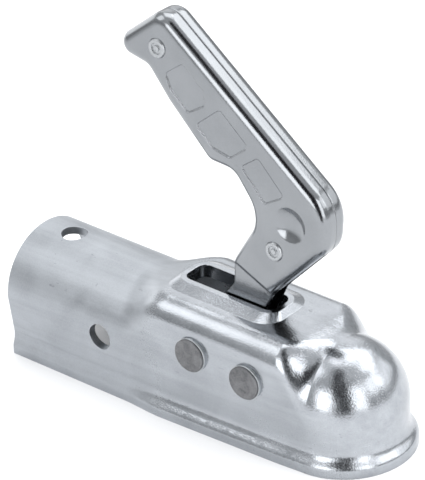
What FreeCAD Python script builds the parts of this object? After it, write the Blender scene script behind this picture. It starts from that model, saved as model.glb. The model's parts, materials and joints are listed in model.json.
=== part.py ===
import FreeCAD, Part
import math
import os

os.makedirs("parts", exist_ok=True)

V = FreeCAD.Vector

# All lengths are in mm. The pins, the handle and the mechanism are modelled in the drawbar tube's
# frame: x points to the ball end, the tube's axis is z = 0 and y = 0 is the middle plane.
# The tube slopes against the flat bottom edge, so seated() turns these pieces on to the ground.
# The pressing is modelled as it rests, with its bottom edge at z = 0.
sheet = 4.0
tube_radius = 29.2
rear_end = -180.0
flange_slope = 3.0
flange_depth = 22.7
edge_height = 3.4
platform_height = 32.5
shoulder_radius = 12.0
ball_radius = 25.0
ball_height = 0.45
below_edge = 5.0
overrun = 1.0
rear_allowance = 5.0
bore_step = 0.5
through = 2 * tube_radius
reach = -2 * rear_end

# Fastening holes for the drawbar bolts
bolt_hole_radius = 6.5
top_hole_x = -161.0
side_hole_x = -121.0

# Raised slot in the platform
slot_rear = -87.0
slot_front = -35.2
slot_half_width = 7.6
slot_corner = 4.5
rim_width = 2.6
rim_top = 35.2
rim_side_foot = 10.3
rim_end_foot = 5.0
rim_sink = 2.0

# Cross pins, both through the side walls
pin_radius = 5.0
handle_pin_x = -64.6
handle_pin_z = 12.5
jaw_pin_x = -33.1
jaw_pin_z = 10.3
head_radius = 8.1
head_height = 1.3
head_edge = 0.4
washer_radius = 8.4
washer_thickness = 1.2
run_gap = 0.05
side_gap = 0.2
wall_out = tube_radius
wall_in = wall_out - sheet
head_face = wall_out + washer_thickness + head_height

# Handle of two pressed shells
shell = 2.0
grip_half = 8.5
stem_half = 6.6
grip_round = 5.2
hollow_bevel = 2.2
seam_bevel = 0.35
joggle_run = 2.6
pivot_end_radius = 10.9
rivet_radius = 2.5
rivet_head_radius = 4.75
rivet_head_height = 0.9
rivet_groove_outer = 2.7
rivet_groove_inner = 1.4
rivet_groove_depth = 0.6
rivet_edge = 0.6
collar_radius = rivet_head_radius - 0.5
upper_rivet = (-96.3, 148.3)
lower_rivet = (-32.6, 67.8)
dimple_centre = (-23.8, 83.9)
dimple_radius = 8.6
dimple_depth = 2.4
dimple_sphere = (dimple_radius ** 2 + dimple_depth ** 2) / (2 * dimple_depth)
panel_depth = 0.6
handle_travel = 50.0
pivot_margin = 0.1

# Mechanism inside
spacer_radius = 8.0
cam_reach = 14.0
cam_angle_closed = -20.0
cam_nose_radius = 5.0
cam_hub_radius = 10.5
cam_pin_radius = 2.5
cam_head_radius = 3.6
cam_head_height = 0.8
jaw_travel = 16.0
spring_room = 10.2
jaw_half_width = wall_in - spring_room
jaw_ball_gap = 0.3
ball_neck_radius = 17.0
wire_radius = 0.9
coil_turns = 2
coil_gap = 0.4
spring_leg = 10.0
spring_offset = 1.6


def axis_level(x):
    """Height of the tube's axis above the bottom edge at one station."""
    slope = math.radians(flange_slope)
    return flange_depth * math.cos(slope) - x * math.tan(slope)


def seated(shape):
    """Turns a piece from the tube's frame so that the pressing's bottom edge is z = 0."""
    placed = shape.copy()
    placed.rotate(V(0, 0, 0), V(0, 1, 0), flange_slope)
    placed.translate(V(0, 0, flange_depth * math.cos(math.radians(flange_slope))))
    return placed


def between(x, table):
    """Value of a station table at x, eased between its entries."""
    if x <= table[0][0]:
        return table[0][1]
    for (xa, va), (xb, vb) in zip(table, table[1:]):
        if x <= xb:
            share = (x - xa) / (xb - xa)
            ease = share * share * (3 - 2 * share)
            return va + (vb - va) * ease
    return table[-1][1]


tube_front = -110.0
platform_rear = -83.0
platform_front = -16.0
neck_height = 12.0
lip_round = 3.0
crown_flat = 0.3
inner_flare = 1.2

top_heights = [(tube_front, tube_radius), (platform_rear, platform_height),
               (platform_front, platform_height), (0, tube_radius + ball_height)]
corner_radii = [(tube_front, tube_radius), (platform_rear, shoulder_radius),
                (platform_front, shoulder_radius), (0, tube_radius)]
neck_offsets = [(rear_end, -2.9), (tube_front, -0.2), (platform_rear, 0), (platform_front, 0), (0, -0.3)]
flange_offsets = [(rear_end, -1.3), (tube_front, 1.6), (platform_rear, 3.8), (platform_front, 3.9), (0, 3.4)]
bore_steps = [(tube_front, bore_step), (platform_rear, 0)]


def section_wire(x, inset, half=False):
    """Section of the pressing at one station; inset 0 is the outside, the sheet is the inside.

    It runs up one side, over the crown and down the other side, or stops at the crown for half a section.
    """
    wall = inset + between(x, bore_steps) if inset else 0
    neck = tube_radius + between(x, neck_offsets) - wall
    edge = neck + inner_flare if inset else tube_radius + between(x, flange_offsets)
    low = -below_edge if inset else -overrun
    rise = 0 if inset else edge_height
    height = between(x, top_heights) - wall
    top = axis_level(x) + height / math.cos(math.radians(flange_slope))
    corner = between(x, corner_radii) - wall - crown_flat
    width = tube_radius - wall
    spot = (1 - math.sqrt(0.5)) * corner
    crown = width - corner

    def at(y, z, sign):
        return V(x, sign * y, z)

    def side(sign):
        flare = Part.BezierCurve()
        if inset:
            flare.setPoles([at(edge, rise, sign), at(neck, rise + 1.0, sign), at(neck, neck_height, sign)])
        else:
            flare.setPoles([at(edge, rise, sign), at(edge, rise + lip_round, sign),
                            at(neck, rise + lip_round, sign), at(neck, neck_height, sign)])
        shoulder = at(width, top - corner, sign)
        bend = Part.Arc(shoulder, at(width - spot, top - spot, sign), at(crown, top, sign))
        return [
            Part.makeLine(at(edge, low, sign), at(edge, rise, sign)),
            flare.toShape(),
            Part.makeLine(at(neck, neck_height, sign), shoulder),
            bend.toShape(),
            Part.makeLine(at(crown, top, sign), at(0, top, sign)),
        ]

    if half:
        edges = side(-1)
        edges.append(Part.makeLine(at(0, top, 1), at(0, low, 1)))
        edges.append(Part.makeLine(at(0, low, 1), at(edge, low, -1)))
        return Part.Wire(edges)
    edges = side(-1) + list(reversed(side(1)))
    edges.append(Part.makeLine(at(edge, low, 1), at(edge, low, -1)))
    return Part.Wire(Part.__sortEdges__(edges))


def stretch(x0, x1, count, inset):
    """Solid between two stations; one interval gives straight lines along x, more give a smooth blend."""
    wires = [section_wire(x0 + (x1 - x0) * i / count, inset) for i in range(count + 1)]
    return Part.makeLoft(wires, True, count == 1)


def body_part(inset):
    """Long part of the pressing as one solid, from behind the rear end to the ball centre."""
    body = stretch(rear_end - rear_allowance - (overrun if inset else 0), tube_front, 1, inset)
    body = body.fuse(stretch(tube_front, platform_rear, 3, inset))
    body = body.fuse(stretch(platform_rear, platform_front, 1, inset))
    return body.fuse(stretch(platform_front, 0, 3, inset))


def front_part(inset):
    """Dome and front flange: half of the last section turned about the upright axis of the ball."""
    return Part.Face(section_wire(0, inset, True)).revolve(V(0, 0, 0), V(0, 0, 1), 180)


def tube_bore():
    """Round bore for the drawbar, along the tube's axis."""
    length = tube_front - rear_end + rear_allowance
    return Part.makeCylinder(wall_in, length, V(rear_end - rear_allowance, 0, 0), V(1, 0, 0))


def rounded_plate(x0, x1, half_width, corner, z):
    """Closed wire of a rectangle with round corners in a level plane."""
    c = corner
    w = half_width
    k = c * (1 - math.sqrt(0.5))
    edges = [
        Part.makeLine(V(x0 + c, -w, z), V(x1 - c, -w, z)),
        Part.Arc(V(x1 - c, -w, z), V(x1 - k, -w + k, z), V(x1, -w + c, z)).toShape(),
        Part.makeLine(V(x1, -w + c, z), V(x1, w - c, z)),
        Part.Arc(V(x1, w - c, z), V(x1 - k, w - k, z), V(x1 - c, w, z)).toShape(),
        Part.makeLine(V(x1 - c, w, z), V(x0 + c, w, z)),
        Part.Arc(V(x0 + c, w, z), V(x0 + k, w - k, z), V(x0, w - c, z)).toShape(),
        Part.makeLine(V(x0, w - c, z), V(x0, -w + c, z)),
        Part.Arc(V(x0, -w + c, z), V(x0 + k, -w + k, z), V(x0 + c, -w, z)).toShape(),
    ]
    return Part.Wire(edges)


def rim():
    """Raised collar around the slot with sloping sides."""
    low = platform_height - rim_sink
    side_grow = rim_width + rim_side_foot
    end_grow = rim_width + rim_end_foot
    upper = rounded_plate(slot_rear - rim_width, slot_front + rim_width, slot_half_width + rim_width,
                          slot_corner + rim_width, rim_top)
    lower = rounded_plate(slot_rear - end_grow, slot_front + end_grow, slot_half_width + side_grow,
                          slot_corner + end_grow, low)
    return Part.makeLoft([lower, upper], True, True)


def cross_rod(x, z, radius, half_length):
    return Part.makeCylinder(radius, 2 * half_length, V(x, -half_length, z), V(0, 1, 0))


def ring_piece(x, z, outer, inner, y0, y1):
    """Round piece with a hole, its axis across the coupling, between two y values."""
    low = min(y0, y1)
    high = max(y0, y1)
    body = Part.makeCylinder(outer, high - low, V(x, low, z), V(0, 1, 0))
    return body.cut(Part.makeCylinder(inner, high - low, V(x, low, z), V(0, 1, 0)))


def housing_cutters():
    """Solids that cut the slot, the bolt holes, the pin holes and the square rear end."""
    slot = Part.Face(rounded_plate(slot_rear, slot_front, slot_half_width, slot_corner, 0))
    return [
        slot.extrude(V(0, 0, through)),
        Part.makeCylinder(bolt_hole_radius, through, V(top_hole_x, 0, 0)),
        cross_rod(side_hole_x, 0, bolt_hole_radius, through),
        cross_rod(handle_pin_x, handle_pin_z, pin_radius, through),
        cross_rod(jaw_pin_x, jaw_pin_z, pin_radius, through),
        Part.makeBox(reach, 2 * reach, 2 * reach, V(rear_end - reach, -reach, -reach)),
    ]


def housing():
    """The pressing, with a flat bottom edge to stand on."""
    outer = body_part(0).fuse(front_part(0)).fuse(seated(rim()))
    solid = outer.cut(Part.makeBox(2 * reach, 2 * reach, reach, V(-reach, -reach, -reach)))
    inner = body_part(sheet).fuse(front_part(sheet))
    solid = solid.cut(inner)
    solid = solid.cut(seated(tube_bore()))
    for cutter in housing_cutters():
        solid = solid.cut(seated(cutter))
    return solid


def headed_pin(x, z):
    """Riveted cross pin with a flat round head on both sides."""
    body = cross_rod(x, z, pin_radius, head_face - head_height)
    for side in (-1, 1):
        base = V(x, side * (head_face - head_height), z)
        head = Part.makeCylinder(head_radius, head_height - head_edge, base, V(0, side, 0))
        top = Part.makeCone(head_radius, head_radius - head_edge, head_edge,
                            base + V(0, side * (head_height - head_edge), 0), V(0, side, 0))
        body = body.fuse(head).fuse(top)
    return body.removeSplitter()


def washer(x, z, side):
    return ring_piece(x, z, washer_radius, pin_radius, side * wall_out, side * (wall_out + washer_thickness))


def rounded_outline(corners, y):
    """Closed wire through corner points (x, z, radius) in the plane of one y value."""
    count = len(corners)
    starts = []
    ends = []
    arcs = []
    for i in range(count):
        x, z, radius = corners[i]
        here = V(x, y, z)
        back = V(corners[i - 1][0], y, corners[i - 1][1]) - here
        ahead = V(corners[(i + 1) % count][0], y, corners[(i + 1) % count][1]) - here
        back.normalize()
        ahead.normalize()
        half = back.getAngle(ahead) / 2
        reach = radius / math.tan(half)
        middle = back + ahead
        middle.normalize()
        tip = middle * (radius / math.sin(half) - radius)
        starts.append(here + back * reach)
        ends.append(here + ahead * reach)
        arcs.append(Part.Arc(here + back * reach, here + tip, here + ahead * reach).toShape())
    edges = []
    for i in range(count):
        edges.append(arcs[i])
        edges.append(Part.makeLine(ends[i], starts[(i + 1) % count]))
    return Part.Wire(edges)


pivot_low = handle_pin_z - pivot_end_radius
pivot_back = handle_pin_x - pivot_end_radius - pivot_margin
pivot_front = handle_pin_x + pivot_end_radius + pivot_margin
pivot_corner = pivot_end_radius - 2 * pivot_margin

handle_corners = [
    (-126.8, 141.8, 6.2),
    (-94.5, 167.0, 9.0),
    (-3.9, 96.0, 20.0),
    (-5.2, 75.5, 14.0),
    (-35.0, 43.3, 7.0),
    (pivot_front, pivot_low, pivot_corner),
    (pivot_back, pivot_low, pivot_corner),
    (pivot_back, 20.0, 6.0),
    (-58.2, 42.0, 5.0),
    (-57.7, 54.5, 6.5),
    (-42.4, 80.5, 16.0),
    (-56.2, 99.2, 8.0),
    (-69.8, 100.0, 7.0),
    (-92.5, 122.8, 20.0),
    (-103.8, 136.9, 6.0),
]

joggle_back = (-57.7, 53.5)
joggle_front = (-35.8, 43.5)

# Area in side view where the stem is open at its edges, for the cam
stem_opening = [
    (-10.0, 74.0, 1),
    (6.0, 60.0, 1),
    (-20.0, -10.0, 1),
    (-90.0, -10.0, 1),
    (-90.0, 30.0, 1),
    (-50.0, 40.0, 1),
    (-40.0, 45.0, 1),
    (-15.0, 70.0, 1),
]

panels = [
    [(-82.3, 144.7, 2), (-92.4, 137.2, 2), (-89.5, 130, 3), (-80.1, 121.4, 2),
     (-70.1, 127.8, 2), (-71, 135, 3)],
    [(-61.8, 128.5, 2), (-75.8, 116.9, 2), (-66.3, 108.4, 3), (-56.7, 106.4, 3), (-46.1, 114.8, 2)],
    [(-41, 111.4, 2), (-50.7, 104.1, 2), (-44, 97, 3), (-38, 89.7, 2), (-26.7, 96.6, 2)],
]


# Outline of the jaw in its gripping place, measured from the jaw pin
jaw_corners = [
    (-12.9, -9.5, 3.0),
    (-12.9, 3.0, 3.0),
    (-4.0, 9.0, 5.0),
    (8.5, 8.5, 5.0),
    (22.0, -33.2, 2.0),
    (6.0, -33.7, 6.0),
]


def side_prism(corners, y0, y1):
    return Part.Face(rounded_outline(corners, y0)).extrude(V(0, y1 - y0, 0))


def below_joggle(stem_face, grip_face):
    """Block outside the narrow stem, with a sloping front where the stem steps out to the grip."""
    ax, az = joggle_back
    bx, bz = joggle_front
    along = V(bx - ax, 0, bz - az)
    along.normalize()
    down = V(along.z, 0, -along.x)
    start = V(ax, 0, az) - along * through
    outside = grip_face + overrun
    profile = [
        (-joggle_run, grip_face),
        (0, stem_face),
        (2 * through, stem_face),
        (2 * through, outside),
        (-joggle_run, outside),
    ]
    corners = [start + down * run + V(0, height, 0) for run, height in profile]
    corners.append(corners[0])
    return Part.Face(Part.makePolygon(corners)).extrude(along * 3 * through)


def handle_blank(inset):
    """Solid of one half of the handle before hollowing, on the +y side."""
    face = Part.Face(rounded_outline(handle_corners, 0))
    if inset:
        face = face.makeOffset2D(-inset)
    blank = face.extrude(V(0, grip_half - inset, 0))
    near_face = [e for e in blank.Edges if min(v.Y for v in e.Vertexes) > grip_half - inset - run_gap]
    if inset:
        blank = blank.makeChamfer(hollow_bevel, near_face)
    else:
        seam = [e for e in blank.Edges if max(v.Y for v in e.Vertexes) < run_gap]
        blank = blank.makeFillet(grip_round, near_face).makeChamfer(seam_bevel, seam)
    return blank.cut(below_joggle(stem_half - inset, grip_half - inset))


def handle_shell(side):
    body = handle_blank(0)
    hollow = handle_blank(shell)
    body = body.cut(hollow)
    body = body.cut(side_prism(stem_opening, -overrun, stem_half - shell))
    x, z = dimple_centre
    middle = V(x, grip_half - dimple_depth + dimple_sphere, z)
    bulge = Part.makeSphere(dimple_sphere + shell, middle)
    bulge = bulge.common(cross_rod(x, z, dimple_radius + shell, grip_half - shell / 2))
    body = body.fuse(bulge).cut(Part.makeSphere(dimple_sphere, middle))
    for corners in panels:
        body = body.cut(side_prism(corners, grip_half - panel_depth, grip_half + overrun))
    for x, z in (upper_rivet, lower_rivet):
        body = body.cut(cross_rod(x, z, rivet_radius, through))
    body = body.cut(cross_rod(handle_pin_x, handle_pin_z, pin_radius + run_gap, through))
    cam_x, cam_z = cam_centre()
    body = body.cut(cross_rod(cam_x, cam_z, cam_pin_radius, through))
    if side < 0:
        body = body.mirror(V(0, 0, 0), V(0, 1, 0))
    return body


def handle_rivet(centre):
    """Rivet that joins the two shells, with a distance collar between them and a ring in each head."""
    x, z = centre
    shank = cross_rod(x, z, rivet_radius, grip_half + rivet_head_height)
    body = shank.fuse(cross_rod(x, z, collar_radius, grip_half - shell))
    for side in (-1, 1):
        head = Part.makeCone(rivet_head_radius, rivet_head_radius - rivet_edge, rivet_head_height,
                             V(x, side * grip_half, z), V(0, side, 0))
        face = side * (grip_half + rivet_head_height)
        floor = face - side * rivet_groove_depth
        groove = ring_piece(x, z, rivet_groove_outer, rivet_groove_inner, face, floor)
        body = body.fuse(head).cut(groove)
    return body.removeSplitter()


def cam_centre():
    """Place of the cam pin while the handle stands open."""
    turn = math.radians(cam_angle_closed - handle_travel)
    return handle_pin_x + cam_reach * math.cos(turn), handle_pin_z + cam_reach * math.sin(turn)


def handle_bush():
    half = stem_half - shell
    return ring_piece(handle_pin_x, handle_pin_z, spacer_radius, pin_radius + run_gap, -half, half)


def closing_cam():
    """Flat cam between the two cheeks of the handle; its nose presses the jaw forward."""
    x, z = cam_centre()
    half = stem_half - shell - side_gap
    hub = cross_rod(handle_pin_x, handle_pin_z, cam_hub_radius, half)
    nose = cross_rod(x, z, cam_nose_radius, half)
    run = math.hypot(x - handle_pin_x, z - handle_pin_z)
    turn = math.degrees(math.atan2(z - handle_pin_z, x - handle_pin_x))
    web = Part.makeBox(run, 2 * half, 2 * cam_nose_radius, V(0, -half, -cam_nose_radius))
    web.rotate(V(0, 0, 0), V(0, -1, 0), turn)
    web.translate(V(handle_pin_x, 0, handle_pin_z))
    body = hub.fuse(nose).fuse(web).removeSplitter()
    body = body.cut(cross_rod(handle_pin_x, handle_pin_z, spacer_radius, through))
    return body.cut(cross_rod(x, z, cam_pin_radius, through))


def cam_pin():
    x, z = cam_centre()
    body = cross_rod(x, z, cam_pin_radius, stem_half)
    for side in (-1, 1):
        head = Part.makeCone(cam_head_radius, cam_head_radius - rivet_edge, cam_head_height,
                             V(x, side * stem_half, z), V(0, side, 0))
        body = body.fuse(head)
    return body.removeSplitter()


def spacer(x, z, inner_face, side):
    return ring_piece(x, z, spacer_radius, pin_radius, side * (inner_face + side_gap), side * wall_in)


def ball_jaw():
    """Claw behind the ball, shaped to it in the gripping place and cut clear of it when swung open."""
    corners = [(jaw_pin_x + x, jaw_pin_z + z, radius) for x, z, radius in jaw_corners]
    ball = Part.makeSphere(ball_radius + jaw_ball_gap, V(0, 0, ball_height))
    body = side_prism(corners, -jaw_half_width, jaw_half_width)
    body = body.cut(ball)
    body = body.cut(Part.makeCylinder(ball_neck_radius, through, V(0, 0, -through)))
    body = body.cut(cross_rod(jaw_pin_x, jaw_pin_z, pin_radius + run_gap, through))
    body.rotate(V(jaw_pin_x, 0, jaw_pin_z), V(0, 1, 0), jaw_travel)
    return body.cut(ball)


def torsion_spring(side):
    """Coil around the jaw's spacer made of half turns; one leg points up, the other down to the jaw."""
    coil_radius = spacer_radius + coil_gap + wire_radius
    pitch = 2 * wire_radius + coil_gap
    section = [V(coil_radius + wire_radius * math.cos(math.radians(60 * i)), 0,
                 wire_radius * math.sin(math.radians(60 * i))) for i in range(6)]
    section.append(section[0])
    face = Part.Face(Part.makePolygon(section))
    body = face.extrude(V(0, -spring_leg, 0))
    for half_turn in range(2 * coil_turns):
        sign = 1 if half_turn % 2 == 0 else -1
        axis = V(sign * pitch / 4, 0, coil_radius)
        axis.normalize()
        level = V(0, 0, pitch * (half_turn + 0.5) / 2)
        here = face.copy()
        if sign < 0:
            here.rotate(V(0, 0, 0), V(0, 0, 1), 180)
        here.translate(V(0, 0, pitch * half_turn / 2))
        body = body.fuse(here.revolve(level, axis, 180))
    last = face.copy()
    last.translate(V(0, 0, pitch * coil_turns))
    body = body.fuse(last.extrude(V(0, spring_leg, 0)))
    body.rotate(V(0, 0, 0), V(1, 0, 0), -90)
    body.translate(V(jaw_pin_x, jaw_half_width + spring_offset + wire_radius, jaw_pin_z))
    if side < 0:
        body = body.mirror(V(0, 0, 0), V(0, 1, 0))
    return body


nodes = {
    "housing": housing(),
    "handle_shell_right": handle_shell(-1),
    "handle_shell_left": handle_shell(1),
    "handle_rivet_upper": handle_rivet(upper_rivet),
    "handle_rivet_lower": handle_rivet(lower_rivet),
    "handle_bush": handle_bush(),
    "closing_cam": closing_cam(),
    "cam_pin": cam_pin(),
    "handle_pin": headed_pin(handle_pin_x, handle_pin_z),
    "jaw_pin": headed_pin(jaw_pin_x, jaw_pin_z),
    "ball_jaw": ball_jaw(),
}
for word, side in (("right", -1), ("left", 1)):
    nodes["handle_washer_" + word] = washer(handle_pin_x, handle_pin_z, side)
    nodes["jaw_washer_" + word] = washer(jaw_pin_x, jaw_pin_z, side)
    nodes["handle_spacer_" + word] = spacer(handle_pin_x, handle_pin_z, stem_half, side)
    nodes["jaw_spacer_" + word] = spacer(jaw_pin_x, jaw_pin_z, jaw_half_width, side)
    nodes["jaw_spring_" + word] = torsion_spring(side)

for name in sorted(nodes):
    piece = nodes[name] if name == "housing" else seated(nodes[name])
    piece.exportStep("parts/" + name + ".step")
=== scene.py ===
import json
import math

import bpy
from mathutils import Matrix, Vector

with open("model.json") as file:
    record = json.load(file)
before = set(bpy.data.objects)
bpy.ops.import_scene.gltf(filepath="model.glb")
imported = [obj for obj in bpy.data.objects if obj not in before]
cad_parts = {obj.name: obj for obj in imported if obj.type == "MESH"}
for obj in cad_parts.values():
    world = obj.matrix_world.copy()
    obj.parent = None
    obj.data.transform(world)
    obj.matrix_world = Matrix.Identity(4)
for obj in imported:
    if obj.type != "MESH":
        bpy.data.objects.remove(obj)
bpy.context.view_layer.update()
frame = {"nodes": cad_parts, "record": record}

# The camera as fitted to the photograph, in a frame with its origin at the ball's centre and the
# drawbar's axis level
PHOTO_HEIGHT = 480       # pixels, the longer side of the picture
FOCAL_PIXELS = 2426.8
SENSOR = 36.0            # mm, along the longer side
AZIMUTH = math.radians(40.19)
ELEVATION = math.radians(30.04)
ROLL = math.radians(-1.66)
DISTANCE = 1.100
TARGET = Vector((-0.07491, 0.0, 0.0550))

# The part stands on its skirt's edge, which slopes against that axis; the camera is moved with it
SKIRT_SLOPE = math.radians(3.0)
BALL_ABOVE_EDGE = 0.0227     # across the axis
SKIRT_DEPTH = BALL_ABOVE_EDGE * math.cos(SKIRT_SLOPE)
SEAT = (Matrix.Translation((0, 0, SKIRT_DEPTH))
        @ Matrix.Rotation(SKIRT_SLOPE, 4, "Y"))

# Places on the part that lights and cards are set around
MIDDLE = (-0.07, 0.0, 0.05)
DOME = (0.0, 0.0, 0.023)
GRIP = (-0.075, 0.0, 0.12)

# Noise patterns: scale in cells per metre, detail and distortion
CLOUDS = (38.0, 5.0, 0.6)
PATCHES = (11.0, 3.0, 0.4)
WAVES = (24.0, 2.0, 0.0)
SPECKS = (1300.0, 2.0, 0.0)
# Patterns laid on stretched coordinates, which hold the scale
DRAWN = (1.0, 4.0, 0.2)
MARKS = (1.0, 2.0, 0.4)
MARK_STRETCH = (240.0, 420.0, 420.0)
EVENLY = (60.0, 60.0, 60.0)
LENGTHWISE = (9.0, 260.0, 260.0)

# How much each pattern counts
COLOUR_WEIGHTS = (0.46, 0.28, 0.26)      # clouds, drawn streaks, specks
ROUGHNESS_WEIGHTS = (0.35, 0.35, 0.30)   # clouds, specks, patches

# The stretch of a noise's values that is mapped onto a result
MOST = (0.3, 0.7)
COLOUR_RANGE = (0.32, 0.68)
ROUGHNESS_RANGE = (0.36, 0.64)
MARK_RANGE = (0.70, 0.75)

# Rubbed edges, by the cosine between the true and the rounded normal: fully rubbed, not at all
EDGE_RANGE = (0.80, 0.985)
EDGE_SAMPLES = 6
RUB_STRENGTH = 0.55
RUB_TONE = 1.25          # against the light colour
MARK_TONE = 0.45         # against the dark colour
TUBE_MATT = 0.26         # roughness that the duller end has on top
LINE_DEPTH = 1.2         # depth of the drawn lines against the grain

FLOOR_RADIUS = 6.0
FLOOR_SIDES = 96
FLOOR_WHITE = (0.93, 0.93, 0.935, 1)
FLOOR_SPECULAR = 0.1
CARD_BLACK = (0.012, 0.012, 0.014, 1)
PAINT_ROUGHNESS = 0.9

# The white surroundings by the height of the direction: level, 30 degrees up and straight up
SKY = [
    (0.0, (0.50, 0.507, 0.515)),
    (0.5, (0.78, 0.79, 0.80)),
    (1.0, (0.95, 0.96, 0.97)),
]

# Name, azimuth and elevation in degrees, distance, width, height, radiance
SOFTBOXES = [
    ("overhead", 215, 74, 1.2, 0.8, 0.8, 2.1),
    ("shoulder light", -52, 46, 1.0, 0.50, 0.56, 1.6),
    ("front left", 4, 18, 0.9, 0.46, 0.50, 2.9),
    ("front right", 66, 20, 0.9, 0.34, 0.66, 2.5),
    ("right fill", 104, 30, 1.0, 0.60, 0.42, 1.8),
    ("back right", 138, 22, 1.1, 0.90, 0.50, 1.15),
    ("high back right", 150, 54, 1.1, 0.90, 0.55, 2.4),
    ("back left", 218, 32, 1.1, 0.80, 0.60, 0.75),
    ("rear light", 258, 12, 1.1, 0.80, 0.50, 1.3),
]

# Name, the place it stands before, azimuth and elevation in degrees, distance, width, height
DARK_CARDS = [
    ("dark card", DOME, 36, 20, 0.42, 0.17, 0.58),
    ("handle's dark card", GRIP, 38, 34, 0.24, 0.10, 0.30),
]


def material(name):
    """A new material, its node tree and its principled shader."""
    made = bpy.data.materials.new(name)
    made.use_nodes = True
    return made, made.node_tree, made.node_tree.nodes["Principled BSDF"]


def noise(tree, place, pattern, finer=1.0):
    """A noise pattern's values at a place; finer shrinks the pattern."""
    scale, detail, distortion = pattern
    node = tree.nodes.new("ShaderNodeTexNoise")
    node.inputs["Scale"].default_value = scale * finer
    node.inputs["Detail"].default_value = detail
    node.inputs["Distortion"].default_value = distortion
    tree.links.new(place, node.inputs["Vector"])
    return node.outputs["Fac"]


def spread(tree, value, low, high, limits=MOST):
    """Maps a value between two limits onto low to high."""
    node = tree.nodes.new("ShaderNodeMapRange")
    node.inputs["From Min"].default_value = limits[0]
    node.inputs["From Max"].default_value = limits[1]
    node.inputs["To Min"].default_value = low
    node.inputs["To Max"].default_value = high
    tree.links.new(value, node.inputs["Value"])
    return node.outputs["Result"]


def shades(tree, value, stops):
    """A colour by a value; the stops pair a value with its colour."""
    node = tree.nodes.new("ShaderNodeValToRGB")
    ramp = node.color_ramp
    for element, (value_there, colour) in zip(ramp.elements, (stops[0], stops[-1])):
        element.position = value_there
        element.color = (*colour, 1)
    for value_there, colour in stops[1:-1]:
        ramp.elements.new(value_there).color = (*colour, 1)
    tree.links.new(value, node.inputs["Fac"])
    return node.outputs["Color"]


def bump(tree, value, depth, normal):
    """The normal, roughened by a value to a depth in metres."""
    node = tree.nodes.new("ShaderNodeBump")
    node.inputs["Strength"].default_value = 1.0
    node.inputs["Distance"].default_value = depth
    tree.links.new(value, node.inputs["Height"])
    tree.links.new(normal, node.inputs["Normal"])
    return node.outputs["Normal"]


def scaled(tree, place, factors):
    """Coordinates stretched by a factor along each axis."""
    node = tree.nodes.new("ShaderNodeMapping")
    node.inputs["Scale"].default_value = factors
    tree.links.new(place, node.inputs["Vector"])
    return node.outputs["Vector"]


def combine(tree, kind, first, second):
    """One arithmetic step between a value and another value or a number."""
    node = tree.nodes.new("ShaderNodeMath")
    node.operation = kind
    tree.links.new(first, node.inputs[0])
    if isinstance(second, float):
        node.inputs[1].default_value = second
    else:
        tree.links.new(second, node.inputs[1])
    return node.outputs["Value"]


def weighted(tree, values, weights):
    """The sum of some values, each times its weight."""
    parts = [combine(tree, "MULTIPLY", value, weight)
             for value, weight in zip(values, weights)]
    total = parts[0]
    for part in parts[1:]:
        total = combine(tree, "ADD", total, part)
    return total


def tinted(tree, colour, amount, tint):
    """Blends a colour towards a tint by an amount."""
    node = tree.nodes.new("ShaderNodeMix")
    node.data_type = "RGBA"
    tree.links.new(amount, node.inputs["Factor"])
    tree.links.new(colour, node.inputs["A"])
    node.inputs["B"].default_value = (*tint, 1)
    return node.outputs["Result"]


def rounded_edges(tree, radius):
    """How sharply the surface bends within a radius, from 0 to 1, and a rounded edge's normal."""
    soft = tree.nodes.new("ShaderNodeBevel")
    soft.samples = EDGE_SAMPLES
    soft.inputs["Radius"].default_value = radius
    plain = tree.nodes.new("ShaderNodeNewGeometry")
    cosine = tree.nodes.new("ShaderNodeVectorMath")
    cosine.operation = "DOT_PRODUCT"
    tree.links.new(soft.outputs["Normal"], cosine.inputs[0])
    tree.links.new(plain.outputs["Normal"], cosine.inputs[1])
    bend = spread(tree, cosine.outputs["Value"], 1.0, 0.0, EDGE_RANGE)
    return bend, soft.outputs["Normal"]


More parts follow.
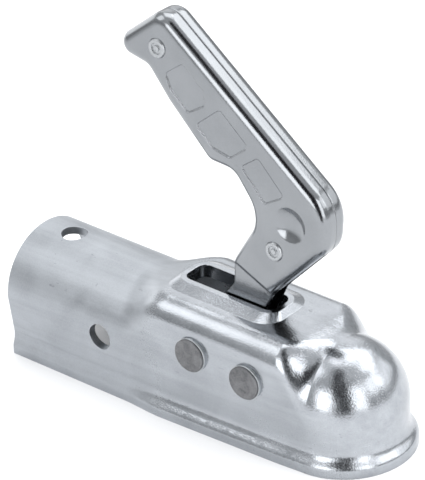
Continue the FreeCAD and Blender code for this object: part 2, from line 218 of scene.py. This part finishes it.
def plated_steel(name, light, dark, smooth, dull, grain, wave,
                 streaks=EVENLY, matt_from=None, marked=0.6, mottle=1.0, soften=0.0006):
    """Bright zinc on pressed steel: cloudy shine, drawn lines, a faint grain and rubbed edges.

    light and dark are the colour's two ends, smooth and dull the roughness's. grain and wave are
    the depths of the grain and of the slow waves in metres. streaks stretches the drawn lines.
    matt_from gives the two x places between which a long piece goes from its duller end to its
    full shine. marked is how strong its few small marks are, mottle makes the clouds smaller for
    a small piece, and soften is the radius to which sharp edges look rounded.
    """
    made, tree, shader = material(name)
    place = tree.nodes.new("ShaderNodeTexCoord").outputs["Object"]
    clouds = noise(tree, place, CLOUDS, mottle)
    patches = noise(tree, place, PATCHES, mottle)
    waves = noise(tree, place, WAVES, mottle)
    specks = noise(tree, place, SPECKS)
    drawn = noise(tree, scaled(tree, place, streaks), DRAWN)
    marks = noise(tree, scaled(tree, place, MARK_STRETCH), MARKS)

    shade = weighted(tree, (clouds, drawn, specks), COLOUR_WEIGHTS)
    colour = shades(tree, shade, list(zip(COLOUR_RANGE, (dark, light))))
    few = combine(tree, "MULTIPLY", spread(tree, marks, 0.0, 1.0, MARK_RANGE),
                  spread(tree, patches, 0.0, marked))
    colour = tinted(tree, colour, few, [value * MARK_TONE for value in dark])
    edges, soft_normal = rounded_edges(tree, soften)
    rubbed = combine(tree, "MULTIPLY", edges, RUB_STRENGTH)
    colour = tinted(tree, colour, rubbed, [value * RUB_TONE for value in light])

    uneven = weighted(tree, (clouds, specks, patches), ROUGHNESS_WEIGHTS)
    rough = spread(tree, uneven, smooth, dull, ROUGHNESS_RANGE)
    if matt_from:
        along = tree.nodes.new("ShaderNodeSeparateXYZ")
        tree.links.new(place, along.inputs["Vector"])
        matt = spread(tree, along.outputs["X"], TUBE_MATT, 0.0, matt_from)
        rough = combine(tree, "ADD", rough, matt)

    normal = bump(tree, specks, grain, soft_normal)
    normal = bump(tree, drawn, grain * LINE_DEPTH, normal)
    normal = bump(tree, waves, wave, normal)

    shader.inputs["Metallic"].default_value = 1.0
    tree.links.new(colour, shader.inputs["Base Color"])
    tree.links.new(rough, shader.inputs["Roughness"])
    tree.links.new(normal, shader.inputs["Normal"])
    return made


FINISHES = {
    "housing": plated_steel(
        "housing zinc", light=(0.456, 0.478, 0.509), dark=(0.300, 0.317, 0.339),
        smooth=0.13, dull=0.31, grain=0.00006, wave=0.0010,
        streaks=LENGTHWISE, matt_from=(-0.108, -0.080), marked=0.8),
    "handle": plated_steel(
        "handle zinc", light=(0.284, 0.296, 0.311), dark=(0.228, 0.239, 0.252),
        smooth=0.10, dull=0.20, grain=0.00002, wave=0.0005,
        streaks=(90.0, 90.0, 60.0), marked=0.12, soften=0.0012),
    "pins": plated_steel(
        "pin zinc", light=(0.245, 0.247, 0.255), dark=(0.085, 0.087, 0.091),
        smooth=0.28, dull=0.50, grain=0.00010, wave=0.0009, marked=0.0, mottle=6.0),
    "washers": plated_steel(
        "washer zinc", light=(0.60, 0.62, 0.64), dark=(0.46, 0.48, 0.50),
        smooth=0.25, dull=0.42, grain=0.00003, wave=0.0004),
    "fasteners": plated_steel(
        "rivet zinc", light=(0.42, 0.435, 0.45), dark=(0.32, 0.333, 0.347),
        smooth=0.22, dull=0.36, grain=0.00003, wave=0.0004),
    "inner_steel": plated_steel(
        "inner zinc", light=(0.40, 0.41, 0.42), dark=(0.28, 0.29, 0.30),
        smooth=0.34, dull=0.55, grain=0.00005, wave=0.0006),
    "springs": plated_steel(
        "spring steel", light=(0.46, 0.47, 0.48), dark=(0.32, 0.33, 0.34),
        smooth=0.28, dull=0.45, grain=0.00002, wave=0.0002),
}


def dress(node, slot):
    """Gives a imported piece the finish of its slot."""
    skin = frame["nodes"][node].data.materials
    skin.clear()
    skin.append(FINISHES[slot])


def paint(thing, name, colour):
    """Covers a thing of the studio in matt paint and returns the paint's shader."""
    made, _, shader = material(name)
    shader.inputs["Base Color"].default_value = colour
    shader.inputs["Roughness"].default_value = PAINT_ROUGHNESS
    thing.data.materials.append(made)
    return shader


def pale_floor():
    """A round floor that reaches beyond the picture."""
    bpy.ops.mesh.primitive_circle_add(vertices=FLOOR_SIDES, radius=FLOOR_RADIUS, fill_type="NGON")
    floor = bpy.context.object
    floor.name = "floor"
    shader = paint(floor, "pale floor", FLOOR_WHITE)
    shader.inputs["Specular IOR Level"].default_value = FLOOR_SPECULAR


def towards(start, azimuth, elevation, distance):
    """A place around the start, by angles in degrees; azimuth 0 is at -y and 90 at the ball."""
    turn = math.radians(azimuth)
    lift = math.radians(elevation)
    flat = math.cos(lift)
    direction = Vector((flat * math.sin(turn), -flat * math.cos(turn), math.sin(lift)))
    return Vector(start) + distance * direction


def softbox(name, azimuth, elevation, distance, width, height, radiance):
    """A soft area light of one even brightness that looks at the part's middle."""
    light = bpy.data.lights.new(name, "AREA")
    light.shape = "RECTANGLE"
    light.size = width
    light.size_y = height
    light.energy = radiance * math.pi * width * height
    made = bpy.data.objects.new(name, light)
    made.location = towards(MIDDLE, azimuth, elevation, distance)
    made.rotation_euler = (Vector(MIDDLE) - made.location).to_track_quat("-Z", "Y").to_euler()
    bpy.context.collection.objects.link(made)


def dark_card(name, start, azimuth, elevation, distance, width, height):
    """A dark board that only the shiny metal sees, as a photographer's black card."""
    bpy.ops.mesh.primitive_plane_add(size=1.0)
    card = bpy.context.object
    card.name = name
    card.location = towards(start, azimuth, elevation, distance)
    card.scale = (width, height, 1.0)
    card.rotation_euler = (Vector(start) - card.location).to_track_quat("Z", "Y").to_euler()
    paint(card, name, CARD_BLACK)
    card.visible_camera = False
    card.visible_diffuse = False
    card.visible_shadow = False


def surroundings():
    """White surroundings that get darker towards the horizon."""
    world = bpy.data.worlds.new("studio")
    bpy.context.scene.world = world
    world.use_nodes = True
    tree = world.node_tree
    direction = tree.nodes.new("ShaderNodeTexCoord").outputs["Generated"]
    split = tree.nodes.new("ShaderNodeSeparateXYZ")
    tree.links.new(direction, split.inputs["Vector"])
    sky = shades(tree, split.outputs["Z"], SKY)
    tree.links.new(sky, tree.nodes["Background"].inputs["Color"])


def camera():
    """Camera at the photograph's angle, from the fitted azimuth, elevation and roll."""
    right = Vector((math.cos(AZIMUTH), math.sin(AZIMUTH), 0.0))
    back = Vector((math.sin(AZIMUTH) * math.cos(ELEVATION),
                   -math.cos(AZIMUTH) * math.cos(ELEVATION),
                   math.sin(ELEVATION)))
    up = back.cross(right)
    turned_right = right * math.cos(ROLL) + up * math.sin(ROLL)
    turned_up = up * math.cos(ROLL) - right * math.sin(ROLL)
    pose = Matrix((turned_right, turned_up, back)).transposed().to_4x4()
    pose.translation = TARGET + back * DISTANCE
    lens = bpy.data.cameras.new("camera")
    lens.sensor_width = SENSOR
    lens.lens = FOCAL_PIXELS / PHOTO_HEIGHT * SENSOR
    made = bpy.data.objects.new("camera", lens)
    made.matrix_world = SEAT @ pose
    bpy.context.collection.objects.link(made)
    bpy.context.scene.camera = made


for entry in frame["record"]["subparts"]:
    dress(entry["node"], entry["material_slot"])

pale_floor()
for box in SOFTBOXES:
    softbox(*box)
for card in DARK_CARDS:
    dark_card(*card)
surroundings()
camera()
bpy.context.scene.view_settings.view_transform = "Standard"
